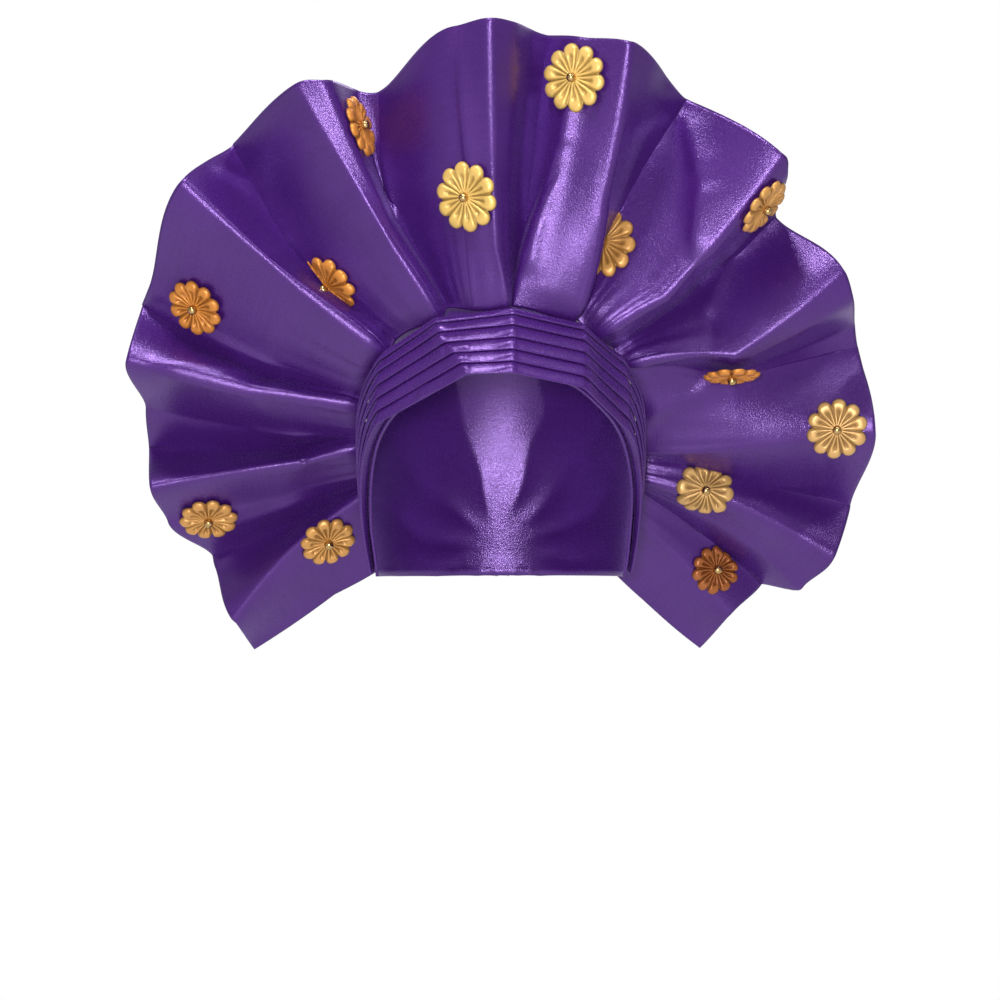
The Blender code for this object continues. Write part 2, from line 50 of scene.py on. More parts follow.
CROWN_HEIGHT = 0.088
WRAP_BREADTH = 0.148
WRAP_LENGTH = 0.190
WIDEST_DROP = 0.010
NAPE_DROP = 0.075
NAPE_TAPER = 0.08
CROWN_SQUARENESS = 2.5
WRAP_THICKNESS = 0.0015
WRAP_HEM_SETBACK = 0.002
WRAP_HEM = 0.008
WRAP_HEM_RISE = 0.0005
GATHER_DEPTH = 0.0016
GATHER_FOLDS = 6.5
GATHER_REACH = 0.120
DRAPE_DEPTH = 0.0008
WELD = 0.00002
BAND_ROWS = (
    # edge_turn, edge_height, seam_turn, seam_height
    (0, 0.386, 0, 0.760),
    (17, 0.369, 20, 0.742),
    (34, 0.302, 38, 0.690),
    (47, 0.182, 52, 0.608),
    (59, 0.050, 64, 0.490),
    (68, -0.102, 76, 0.335),
    (75, -0.284, 87, 0.150),
    (80, -0.477, 98, -0.085),
    (84, -0.659, 110, -0.375),
    (88, -0.830, 126, -0.720),
)


def blend(start, end, share):
    return start + (end - start) * share


def ramp(value, start, end):
    """From 0 at the start to 1 at the end, level at both."""
    share = np.clip((value - start) / (end - start), 0.0, 1.0)
    return share * share * (3 - 2 * share)


def along_rows(values, place):
    """A smooth curve through a column of values, one a row, at a place counted in rows."""
    last = len(values) - 1
    place = min(max(place, 0.0), float(last))
    k = min(int(place), last - 1)
    f = place - k
    before = values[k - 1] if k > 0 else 2 * values[0] - values[1]
    after = values[k + 2] if k + 2 <= last else 2 * values[last] - values[last - 1]
    start, end = values[k], values[k + 1]
    square = 2 * before - 5 * start + 4 * end - after
    cube = 3 * (start - end) + after - before
    return start + 0.5 * f * (end - before + f * (square + f * cube))


def wrap_scale(height):
    """The wrap's girth at a height, as a share of its widest."""
    if height >= -WIDEST_DROP:
        rise = min((height + WIDEST_DROP) / (CROWN_HEIGHT + WIDEST_DROP), 1.0)
        return (1 - rise**CROWN_SQUARENESS) ** (1 / CROWN_SQUARENESS)
    fall = (-WIDEST_DROP - height) / (NAPE_DROP - WIDEST_DROP)
    return 1 - NAPE_TAPER * fall * fall


def wrap_point(turn, height, lift=0.0):
    """A point on the wrap's outside, or lifted off it, at a turn in degrees from the brow's middle."""
    scale = wrap_scale(height)
    half_breadth, half_length = WRAP_BREADTH / 2, WRAP_LENGTH / 2
    x = half_breadth * scale * math.sin(math.radians(turn))
    y = -half_length * scale * math.cos(math.radians(turn))
    step = CROWN_HEIGHT * 0.002
    slope = (wrap_scale(height + step) - wrap_scale(height - step)) / (2 * step)
    outward = Vector((x / half_breadth**2, y / half_length**2, -scale * slope))
    if scale < 0.02:
        outward = Vector((0, 0, 1))
    return Vector((x, y, height)) + outward.normalized() * lift


def band_point(along, across, lift=0.0):
    """A point of the brow band: along runs from -1 to 1 round the brow, across from its edge to the seam."""
    place = abs(along) * (len(BAND_ROWS) - 1)
    edge_turn, edge_height, seam_turn, seam_height = (along_rows(column, place) for column in zip(*BAND_ROWS))
    turn = blend(edge_turn, seam_turn, across)
    height = blend(edge_height, seam_height, across) * CROWN_HEIGHT
    return wrap_point(math.copysign(turn, along), height, lift)


def wrap_edge(turn):
    """The height of the wrap's lower edge: the band's edge in front, then level round the nape."""
    turns = [row[0] for row in BAND_ROWS]
    if turn >= turns[-1]:
        return -NAPE_DROP
    low, high = 0.0, float(len(turns) - 1)
    for _ in range(30):
        middle = (low + high) / 2
        low, high = (middle, high) if along_rows(turns, middle) < turn else (low, middle)
    height = along_rows([row[1] for row in BAND_ROWS], low) * CROWN_HEIGHT
    return max(height + WRAP_HEM_SETBACK, -NAPE_DROP)


def gathered(point):
    """How far the cloth stands up in the folds that run from the knot over the back of the head."""
    knot = Vector((0, WRAP_LENGTH / 2, -NAPE_DROP * 0.76))
    away = point - knot
    spread = math.atan2(away.z + 0.004, math.hypot(away.x, away.y * 0.35) * math.copysign(1, away.x))
    wander = noise.noise(point * 14) * 0.9 + noise.noise(point * 34) * 0.35
    fold = 1 - abs(math.sin(spread * GATHER_FOLDS + wander * 1.7)) ** 0.75
    fade = math.exp(-((away.length / GATHER_REACH) ** 2)) * ramp(away.length, 0.008, 0.034)
    drape = noise.noise(point * 19 + Vector((3, 1, 7))) * DRAPE_DEPTH
    return GATHER_DEPTH * fold * float(fade) + drape * float(ramp(point.y, -0.05, 0.02))


def cloth_grid(columns, rows, place, across_m, out_m):
    """A sheet of cloth from a grid: place gives each corner's point, and its map is laid out in metres."""
    cloth = bmesh.new()
    weave = cloth.loops.layers.uv.new("weave")
    bmesh.ops.create_grid(cloth, x_segments=columns, y_segments=rows, size=1.0)
    for corner in cloth.verts:
        share = ((corner.co.x + 1) / 2, (corner.co.y + 1) / 2)
        for loop in corner.link_loops:
            loop[weave].uv = (share[0] * across_m, share[1] * out_m)
    for corner in cloth.verts:
        column = round((corner.co.x + 1) / 2 * columns)
        row = round((corner.co.y + 1) / 2 * rows)
        corner.co = place(column, row)
    return cloth


def finished(name, cloth, finish):
    """Puts a bmesh in the scene as one named piece with its finish."""
    mesh = bpy.data.meshes.new(name)
    cloth.to_mesh(mesh)
    cloth.free()
    mesh.shade_smooth()
    made = bpy.data.objects.new(name, mesh)
    mesh.materials.append(finish)
    bpy.context.scene.collection.objects.link(made)
    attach(made, "root")
    return made


def walled(made, thickness, side):
    """Gives an open sheet its wall, to the side that its faces look to, 1, or away from it, -1."""
    wall = made.modifiers.new("wall", "SOLIDIFY")
    wall.thickness = thickness
    wall.offset = side
    wall.use_even_offset = False
    wall.use_rim = True


def node(tree, kind, **settings):
    """A shader node with its inputs and settings given by name."""
    made = tree.nodes.new(kind)
    for name, value in settings.items():
        if name in made.inputs:
            made.inputs[name].default_value = value
        else:
            setattr(made, name, value)
    return made


def ranged(tree, given, wanted):
    """A node that maps one range of a value onto another."""
    made = tree.nodes.new("ShaderNodeMapRange")
    made.inputs["From Min"].default_value, made.inputs["From Max"].default_value = given
    made.inputs["To Min"].default_value, made.inputs["To Max"].default_value = wanted
    return made


def satin_group():
    """The weave of the satin: slubs that run along the cloth, a fine glitter and a slow drift of shade."""
    group = bpy.data.node_groups.new("satin_weave", "ShaderNodeTree")
    for name, value in (("Slub", 0.32), ("Glitter", 1.7)):
        group.interface.new_socket(name, in_out="INPUT", socket_type="NodeSocketFloat").default_value = value
    for name in ("Weave Map", "Place"):
        group.interface.new_socket(name, in_out="INPUT", socket_type="NodeSocketVector")
    for name in ("Shade", "Roughness", "Height"):
        group.interface.new_socket(name, in_out="OUTPUT", socket_type="NodeSocketFloat")
    link = group.links.new
    given, out = group.nodes.new("NodeGroupInput"), group.nodes.new("NodeGroupOutput")
    stretch = node(group, "ShaderNodeMapping", Scale=(38, 620, 1))
    slub = node(group, "ShaderNodeTexNoise", Scale=1.0, Detail=2.5, Roughness=0.6)
    fine_stretch = node(group, "ShaderNodeMapping", Scale=(160, 1900, 1))
    thread = node(group, "ShaderNodeTexNoise", Scale=1.0, Detail=1.0)
    glitter = node(group, "ShaderNodeTexNoise", Scale=1150.0, Detail=2.0, Roughness=0.75)
    drift = node(group, "ShaderNodeTexNoise", Scale=26.0, Detail=3.0)
    link(given.outputs["Weave Map"], stretch.inputs["Vector"])
    link(given.outputs["Weave Map"], fine_stretch.inputs["Vector"])
    link(stretch.outputs["Vector"], slub.inputs["Vector"])
    link(fine_stretch.outputs["Vector"], thread.inputs["Vector"])
    link(given.outputs["Place"], glitter.inputs["Vector"])
    link(given.outputs["Place"], drift.inputs["Vector"])
    lifted = node(group, "ShaderNodeMath", operation="MULTIPLY")
    link(slub.outputs["Fac"], lifted.inputs[0])
    link(given.outputs["Slub"], lifted.inputs[1])
    sparkle = node(group, "ShaderNodeMath", operation="MULTIPLY")
    link(glitter.outputs["Fac"], sparkle.inputs[0])
    link(given.outputs["Glitter"], sparkle.inputs[1])
    both = node(group, "ShaderNodeMath", operation="ADD")
    link(lifted.outputs[0], both.inputs[0])
    link(sparkle.outputs[0], both.inputs[1])
    threads = node(group, "ShaderNodeMath", operation="MULTIPLY_ADD")
    threads.inputs[1].default_value = 0.15
    link(thread.outputs["Fac"], threads.inputs[0])
    link(both.outputs[0], threads.inputs[2])
    link(threads.outputs[0], out.inputs["Height"])
    shade = node(group, "ShaderNodeMath", operation="ADD", use_clamp=True)
    slow = ranged(group, (0.3, 0.7), (0.0, 0.55))
    quick = ranged(group, (0.3, 0.7), (0.0, 0.45))
    link(drift.outputs["Fac"], slow.inputs["Value"])
    link(slub.outputs["Fac"], quick.inputs["Value"])
    link(slow.outputs["Result"], shade.inputs[0])
    link(quick.outputs["Result"], shade.inputs[1])
    link(shade.outputs[0], out.inputs["Shade"])
    rough = ranged(group, (0.25, 0.75), (0.17, 0.33))
    link(glitter.outputs["Fac"], rough.inputs["Value"])
    link(rough.outputs["Result"], out.inputs["Roughness"])
    return group


def purple_satin():
    """Stiff satin with a lilac sheen: purple threads one way, pale ones the other."""
    finish = bpy.data.materials.new("purple_satin")
    finish.use_nodes = True
    tree = finish.node_tree
    shader = tree.nodes["Principled BSDF"]
    weave = tree.nodes.new("ShaderNodeGroup")
    weave.node_tree = satin_group()
    laid = node(tree, "ShaderNodeUVMap", uv_map="weave")
    place = tree.nodes.new("ShaderNodeTexCoord")
    tree.links.new(laid.outputs["UV"], weave.inputs["Weave Map"])
    tree.links.new(place.outputs["Object"], weave.inputs["Place"])
    colour = node(tree, "ShaderNodeMix", data_type="RGBA")
    colour.inputs["A"].default_value = (0.040, 0.006, 0.108, 1)
    colour.inputs["B"].default_value = (0.058, 0.011, 0.152, 1)
    tree.links.new(weave.outputs["Shade"], colour.inputs["Factor"])
    tree.links.new(colour.outputs["Result"], shader.inputs["Base Color"])
    tree.links.new(weave.outputs["Roughness"], shader.inputs["Roughness"])
    relief = node(tree, "ShaderNodeBump", Strength=0.50, Distance=0.00025)
    tree.links.new(weave.outputs["Height"], relief.inputs["Height"])
    tree.links.new(relief.outputs["Normal"], shader.inputs["Normal"])
    shader.inputs["Metallic"].default_value = 0.30
    shader.inputs["Specular IOR Level"].default_value = 1.0
    shader.inputs["Specular Tint"].default_value = (0.78, 0.58, 1.0, 1)
    shader.inputs["Sheen Weight"].default_value = 0.12
    shader.inputs["Sheen Roughness"].default_value = 0.35
    shader.inputs["Sheen Tint"].default_value = (0.52, 0.30, 0.95, 1)
    return finish


satin = purple_satin()
WRAP_AROUND, WRAP_UP = 240, 72
wrap_turns = [360 * k / WRAP_AROUND - 180 for k in range(WRAP_AROUND + 1)]
wrap_edges = [wrap_edge(abs(turn)) for turn in wrap_turns]


def wrap_corner(column, row):
    climb = math.sin(math.pi / 2 * row / WRAP_UP)
    turn, edge = wrap_turns[column % WRAP_AROUND], wrap_edges[column % WRAP_AROUND]
    height = blend(edge, CROWN_HEIGHT, climb)
    bare = wrap_point(turn, height)
    top_fade = 1 - climb**24
    hem = WRAP_HEM_RISE * float(1 - ramp(height - edge, WRAP_HEM * 0.85, WRAP_HEM))
    return wrap_point(turn, height, (gathered(bare) + hem) * top_fade)


cloth = cloth_grid(WRAP_AROUND, WRAP_UP, wrap_corner, 0.50, 0.19)
bmesh.ops.remove_doubles(cloth, verts=cloth.verts, dist=WELD)
bmesh.ops.recalc_face_normals(cloth, faces=cloth.faces)
crown_cloth = finished("crown_cloth", cloth, satin)
walled(crown_cloth, WRAP_THICKNESS, -1)
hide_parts("crown_wrap")


# The folds over the brow
# Six layers of the same satin, each doubled over so that its lower edge is a fold, pressed flat and tucked
# under the next one up. Over the brow they run straight from kink to kink.

FOLD_THICKNESS = 0.0011
FOLD_GAP = 0.0005
FOLD_TUCK = 0.35
BAND_STANDOFF = 0.0008
KINK_STANDOFF = 0.0042
KINKS_AT_SEAM = (-0.43, -0.20, 0.035, 0.245, 0.45)
KINKS_AT_EDGE = (-0.41, -0.085, 0.030, 0.225, 0.46)
FOLD_STARTS = (0.0, 0.185, 0.369, 0.554, 0.739, 0.894)
FOLD_CLOTH = 0.00045
FOLD_COLUMNS, FOLD_ROWS = 300, 22
UNDERSIDE_ROWS, TURN_ROWS = 0.18, 0.36
UNDERSIDE_REACH = 0.55
BAND_HEIGHT = 0.034
BELLY = 0.0005
RIPPLE, RIPPLE_DIP = 0.00035, 0.0001
FOLD_WANDER = 0.012
LINING_LIFT = 0.0010
PINCHES = (
    # along, first_fold, last_fold, reach, height
    (0.034, 1, 6, -0.060, 0.0015),
    (-0.080, 1, 3, -0.070, 0.0013),
    (-0.155, 3, 5, -0.080, 0.0013),
    (0.240, 1, 6, 0.060, 0.0015),
    (-0.260, 1, 1, 0.090, 0.0013),
    (0.440, 2, 6, -0.050, 0.0014),
)


def fold_lift(across, start, end):
    """How far a fold's inner face stands off the wrap: on the fold below at its start, low at its tuck."""
    pitch_share = 1 / (1 + FOLD_TUCK)
    step_up = (FOLD_THICKNESS + FOLD_GAP) / pitch_share
    width = (end - start) * (1 + FOLD_TUCK)
    flare = BAND_STANDOFF * across * across
    return FOLD_GAP + flare + step_up * (1 - (across - start) / width)


def kinks_at(across):
    share = min(max(across, 0.0), 1.0)
    return [blend(edge, seam, share) for edge, seam in zip(KINKS_AT_EDGE, KINKS_AT_SEAM)]


def fold_point(along, across, lift):
    """A point of a fold, which runs straight from kink to kink over the brow and round at the sides."""
    stand = KINK_STANDOFF * (1 - across / 8)
    kinks = kinks_at(across)
    if kinks[0] < along < kinks[-1]:
        right = next(k for k in range(1, len(kinks)) if along <= kinks[k])
        share = (along - kinks[right - 1]) / (kinks[right] - kinks[right - 1])
        ends = [band_point(kinks[k], across, lift + stand) for k in (right - 1, right)]
        return ends[0].lerp(ends[1], share)
    fade = (1 - abs(along)) / (1 - min(abs(kinks[0]), kinks[-1]))
    return band_point(along, across, lift + stand * min(fade, 1.0))


def pinched(number, along, up):
    """The small stiff facets beside the kinks, where each layer was pressed round the head."""
    stand = 0.0
    for place, first, last, reach, height in PINCHES:
        gone = 1 - (along - place) / reach
        if first <= number <= last and 0 < gone < 1:
            stand += height * gone * math.sin(math.pi * up)
    return stand


def folded_layer(number, start, end):
    """One doubled layer: its underside, the half round of its fold, and up over the front to its tuck."""
    tuck_end = start + (end - start) * (1 + FOLD_TUCK) if end < 1 else end
    bend = (FOLD_THICKNESS - FOLD_CLOTH) / 2
    bend_share = bend / BAND_HEIGHT

    def place(column, row):
        along = 2 * column / FOLD_COLUMNS - 1
        share = row / FOLD_ROWS
        if share < UNDERSIDE_ROWS:
            inner_end = start + (end - start) * UNDERSIDE_REACH
            across = blend(inner_end, start + bend_share, share / UNDERSIDE_ROWS)
            lift = FOLD_CLOTH / 2
            front = 0.0
        elif share < TURN_ROWS:
            front = (share - UNDERSIDE_ROWS) / (TURN_ROWS - UNDERSIDE_ROWS)
            across = start + bend_share * (1 - math.sin(math.pi * front))
            lift = FOLD_CLOTH / 2 + bend * (1 - math.cos(math.pi * front))
        else:
            up = (share - TURN_ROWS) / (1 - TURN_ROWS)
            across = blend(start + bend_share, tuck_end, up**1.15)
            lift = FOLD_THICKNESS - FOLD_CLOTH / 2
            front = 1.0
        up = max(0.0, min(1.0, (across - start) / (end - start)))
        ripple = noise.noise(Vector((along * 9, across * 2.2, number * 5.0))) * RIPPLE
        belly = BELLY * math.sin(math.pi * min(up, 1.0)) * front
        wander = noise.noise(Vector((along * 3.1, number * 7.0, 1.0))) * FOLD_WANDER * (1 - abs(along))
        across += wander * front if 0 < start else 0.0
        lift += fold_lift(across, start, end) + front * (belly + max(ripple, -RIPPLE_DIP))
        lift += front * pinched(number, along, up)
        point = fold_point(along, across, lift)
        if number == 1 and share < UNDERSIDE_ROWS:
            lining = band_point(along, across, LINING_LIFT)
            point = lining.lerp(point, share / UNDERSIDE_ROWS)
        return point

    width = (tuck_end - start + (end - start) * UNDERSIDE_REACH) * BAND_HEIGHT
    layer = cloth_grid(FOLD_COLUMNS, FOLD_ROWS, place, 0.30, width)
    axes = {"use_axis_x": True, "use_axis_y": True, "use_axis_z": True}
    bmesh.ops.smooth_vert(layer, verts=layer.verts, factor=0.35, **axes)
    return layer


for number, (start, end) in enumerate(zip(FOLD_STARTS, FOLD_STARTS[1:] + (1.0,)), 1):
    layer = finished(f"brow_layer_{number}", folded_layer(number, start, end), satin)
    walled(layer, FOLD_CLOTH, 0)
    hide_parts(f"brow_fold_{number}")


# The pleated ruff
# The free width of the cloth, set in knife pleats at the seam above the folds and fanned out round the
# head. It is doubled, so its rim is a fold, and it holds its form by its own stiffness.

RUFF_REACH = 0.2290
RUFF_SIDE_SHIFT = 0.002
RUFF_THICKNESS = 0.0013
RUFF_SEAM = 1.07
SEAM_WAVE = 0.09
RIM_WAVE = 0.023
WAVE_GROWTH = 0.62
RIM_LEAN = 0.078
RIM_SWEEP = 0.160
RIM_SWEEP_POWER = 0.70
SEAM_GAP = 0.0012
SEAM_ROUNDNESS = 0.15
RIM_ROUNDNESS = 0.80
WALL_DROP = 1.2
WALL_START, WALL_END = 0.33, 0.67
COLUMN_PITCH, COLUMN_EASE = 0.0021, 0.62
ROW_EASE = 1.08
SLOW_DENTS, BRISK_DENTS, SOFT_CREASES = 0.0008, 0.0002, 0.0050
SEAM_PULLS, PULL_REACH = 0.0007, 0.55
NIP_GAIN, NIP_SHARPNESS = 1.25, 1.4
RUFF_ROWS = 76
# Each crease of the ruff from the left hem to the right: its depth as a share of the wave, its turn seen from
# the front, its reach, how crisp its edge is and how sudden the drop of the wall after it.
CREASE_COLUMNS = (
    "name", "depth", "rim_turn", "rim_reach", "elbow_out", "elbow_turn", "seam_turn", "edge", "drop"
)
CREASES = (
    ("left_hem", -0.30, 219.5, 0.791, 0.45, 221.5, 226.5, 0.00, 0.0),
    ("ridge_1", 0.75, 213.5, 0.788, 0.55, 207.3, 201.6, 0.15, 0.0),
    ("valley_1", -0.80, 201.5, 0.760, 0.50, 201.0, 198.5, 0.50, 0.0),
    ("swell_1", 0.00, 193.2, 0.838, 0.45, 193.4, 195.0, 0.20, 0.0),
    ("ridge_2", 0.85, 187.5, 0.862, 0.27, 186.0, 182.9, 0.30, 0.0),
    ("valley_2", -0.65, 181.0, 0.860, 0.45, 182.3, 181.3, 0.40, 0.0),
    ("swell_2", -0.20, 174.5, 0.868, 0.36, 177.4, 180.0, 0.40, 0.0),
    ("ridge_3", 0.85, 168.0, 0.928, 0.48, 168.8, 167.2, 0.20, 0.0),
    ("valley_3", -0.70, 159.3, 0.930, 0.42, 166.0, 165.0, 0.80, 0.0),
    ("swell_3", -0.25, 156.5, 0.929, 0.45, 160.9, 163.4, 0.40, 0.0),
    ("ridge_4", 1.00, 141.4, 0.987, 0.45, 143.2, 143.6, 0.65, 0.0),
    ("valley_4", -0.80, 132.5, 0.960, 0.34, 140.2, 141.9, 0.70, 0.0),
    ("ridge_5", 1.00, 120.3, 0.979, 0.30, 120.1, 118.4, 0.95, 0.9),
    ("valley_5", -1.00, 109.6, 0.881, 0.60, 115.2, 117.0, 0.30, 0.0),
    ("swell_5", 0.60, 96.6, 0.985, 0.45, 98.0, 103.0, 0.10, 0.0),
    ("ridge_6", 1.05, 92.0, 0.996, 0.21, 92.7, 88.7, 1.00, 0.4),
    ("valley_6", -0.75, 83.8, 0.966, 0.25, 84.6, 87.3, 0.60, 0.0),
    ("swell_6", 0.12, 79.0, 0.972, 0.50, 77.8, 85.5, 0.60, 0.0),
    ("ridge_7", 1.00, 72.6, 0.988, 0.45, 67.9, 59.9, 1.00, 0.3),
    ("valley_7", -0.85, 62.0, 0.922, 0.30, 64.7, 58.6, 0.70, 0.0),
    ("ridge_8", 1.25, 45.8, 0.948, 0.30, 41.6, 49.0, 0.60, 0.8),
    ("valley_8", -0.90, 39.5, 0.840, 0.42, 38.6, 35.5, 0.50, 0.0),
    ("ridge_9", 0.95, 26.5, 0.906, 0.45, 20.2, 32.4, 0.40, 0.9),
    ("valley_9", -0.85, 15.0, 0.878, 0.42, 16.0, 29.0, 0.50, 0.0),
    ("ridge_10", 0.80, 1.5, 0.893, 0.42, -0.8, -5.6, 0.15, 0.0),
    ("valley_10", -0.50, -10.5, 0.852, 0.52, -8.8, -8.8, 0.40, 0.0),
    ("ridge_11", 0.65, -19.5, 0.846, 0.50, -15.2, -16.4, 0.15, 0.0),
    ("swell_11", 0.15, -26.0, 0.806, 0.50, -20.5, -19.0, 0.20, 0.0),
    ("valley_11", -0.40, -28.6, 0.712, 0.50, -24.5, -21.0, 0.40, 0.0),
    ("ridge_12", 0.35, -37.5, 0.690, 0.50, -34.0, -31.0, 0.20, 0.0),
    ("right_hem", -0.30, -46.3, 0.690, 0.45, -48.8, -52.0, 0.00, 0.0),
)
# Small folds and dents pressed into the pleats, each a line on the front from its start to its end.
# Places are shares of the ruff's reach to the right of and above the middle, width and height in metres.
NIPS = (
    # start_x, start_z, end_x, end_z, width, height, lean
    (-0.101, 0.913, -0.065, 0.470, 0.0050, 0.0020, 0.4),
    (-0.291, 0.697, -0.255, 0.519, 0.0035, 0.0018, 0.3),
    (0.163, 0.800, 0.144, 0.700, 0.0045, 0.0022, 0.2),
    (0.144, 0.710, 0.091, 0.530, 0.0045, 0.0024, 0.2),
    (0.091, 0.540, 0.055, 0.400, 0.0040, 0.0020, 0.2),
    (-0.704, 0.654, -0.600, 0.600, 0.0040, 0.0018, 0.3),
    (-0.615, 0.608, -0.459, 0.421, 0.0050, 0.0012, 0.3),
    (-0.860, 0.330, -0.712, 0.267, 0.0030, 0.0016, -0.5),
    (-0.712, 0.267, -0.540, 0.190, 0.0030, 0.0014, -0.5),
    (-0.615, 0.038, -0.450, 0.010, 0.0025, 0.0012, 0.0),
    (-0.830, 0.180, -0.600, 0.140, 0.0070, 0.0022, 0.3),
    (-0.640, -0.270, -0.800, -0.360, 0.0060, 0.0018, 0.0),
    (-0.470, -0.130, -0.700, -0.210, 0.0030, 0.0010, 0.3),
    (0.392, 0.841, 0.310, 0.740, 0.0060, 0.0016, 0.3),
    (0.428, 0.770, 0.471, 0.620, 0.0080, 0.0026, 0.5),
    (0.471, 0.620, 0.452, 0.440, 0.0080, 0.0024, 0.5),
    (0.478, 0.291, 0.543, 0.438, 0.0070, 0.0020, 0.0),
    (0.543, 0.438, 0.644, 0.522, 0.0070, 0.0020, 0.0),
    (0.330, 0.060, 0.520, 0.140, 0.0060, 0.0022, 0.2),
    (0.360, -0.060, 0.780, -0.110, 0.0060, 0.0016, 0.2),
)


def eased(share, roundness):
    """Runs from 0 to 1, straight where roundness is 0, level at both ends at 1 and steeper between at 2."""
    once = share * share * (3 - 2 * share)
    twice = once * once * (3 - 2 * once)
    return np.where(roundness < 1, blend(share, once, roundness), blend(once, twice, roundness - 1))


def between_creases(share, leaving, arriving):
    """Runs from 0 at one crease to 1 at the next, at the slope that each crease gives it."""
    square, cube = share * share, share**3
    return (cube - 2 * square + share) * leaving + (3 * square - 2 * cube) + (cube - square) * arriving


def front_turn(point):
    """The turn at which a point is seen from the front, from -90 to 270 degrees."""
    turn = math.degrees(math.atan2(point.z, point.x - RUFF_SIDE_SHIFT))
    return turn if turn > -90 else turn + 360


def seam_place(turn):
    """The place along the seam that is seen from the front at a turn."""
    low, high = -1.0, 1.0
    for _ in range(40):
        middle = (low + high) / 2
        low, high = (middle, high) if front_turn(band_point(middle, RUFF_SEAM)) > turn else (low, middle)
    return (low + high) / 2


def rim_depth(turn):
    """How far back the rim lies, before its wave: forward over the brow, swept back at the hems."""
    lowest = math.sin(math.radians(CREASES[0][2]))
    fall = (1 - math.sin(math.radians(turn))) / (1 - lowest)
    return -RIM_LEAN + RIM_SWEEP * fall**RIM_SWEEP_POWER


def ruff_controls():
    """Every column of the ruff, spaced evenly over the cloth between one crease and the next."""
    creases = [dict(zip(CREASE_COLUMNS, row)) for row in CREASES]
    for crease in creases:
        crease["along"] = seam_place(crease["seam_turn"])
    columns, starts = [], {}
    for left, right in zip(creases, creases[1:]):
        starts[left["name"]] = len(columns)
        turned = math.radians(abs(left["rim_turn"] - right["rim_turn"])) * RUFF_REACH * 0.9
        panel = math.hypot(turned, (left["depth"] - right["depth"]) * RIM_WAVE)
        steps = max(7, round(panel / COLUMN_PITCH))
        even = [k / steps for k in range(steps)]
        shares = [blend(share, (1 - math.cos(math.pi * share)) / 2, COLUMN_EASE) for share in even]
        columns += [(left, right, share) for share in shares]
    starts[creases[-1]["name"]] = len(columns)
    columns.append((creases[-2], creases[-1], 1.0))
    return columns, starts


def ruff_column(left, right, share, outs):
    """The points of one column of the ruff's back, one for each share of the way out."""
    wall = left["depth"] - right["depth"] > WALL_DROP
    rim_rounds = [RIM_ROUNDNESS * (1 - crease["edge"]) for crease in (left, right)]
    slopes = [1 - blend(SEAM_ROUNDNESS, rim_round, outs) for rim_round in rim_rounds]
    if wall:
        slopes = [slopes[0] * blend(1.0, 1.35, outs), slopes[1] * 0.8]
    dropped = float(ramp(share, WALL_START, WALL_END))
    fallen = blend(between_creases(share, *slopes), dropped, left["drop"] * outs**0.4)
    depth = blend(left["depth"], right["depth"], fallen)
    seam_depth = blend(left["depth"], right["depth"], float(eased(share, SEAM_ROUNDNESS)))
    along = blend(left["along"], right["along"], share)
    seam = band_point(along, RUFF_SEAM + SEAM_WAVE * (1 - seam_depth), SEAM_GAP)
    seam_turn, seam_reach = front_turn(seam), math.hypot(seam.x - RUFF_SIDE_SHIFT, seam.z)
    rim_turn = blend(left["rim_turn"], right["rim_turn"], share)
    rim_reach = RUFF_REACH * blend(left["rim_reach"], right["rim_reach"], float(eased(share, 1.0)))
    elbow_out = blend(left["elbow_out"], right["elbow_out"], share)
    elbow_turn = blend(left["elbow_turn"], right["elbow_turn"], share)
    inner = blend(seam_turn, elbow_turn, outs / elbow_out)
    outer = blend(elbow_turn, rim_turn, (outs - elbow_out) / (1 - elbow_out))
    turn = np.radians(np.where(outs < elbow_out, inner, outer))
    reach = blend(seam_reach, rim_reach, outs)
    y = blend(seam.y, rim_depth(rim_turn), outs) - RIM_WAVE * depth * outs**WAVE_GROWTH
    return np.stack([RUFF_SIDE_SHIFT + reach * np.cos(turn), y, reach * np.sin(turn)], axis=1)


def square_to(points):
    """The way square to a grid of points at each of them, towards the front."""
    out = np.gradient(points, axis=0)
    across = np.gradient(points, axis=1)
    square = np.cross(across, out)
    square /= np.maximum(np.linalg.norm(square, axis=2, keepdims=True), 1e-12)
    return square * -np.sign(square[:, :, 1].sum())


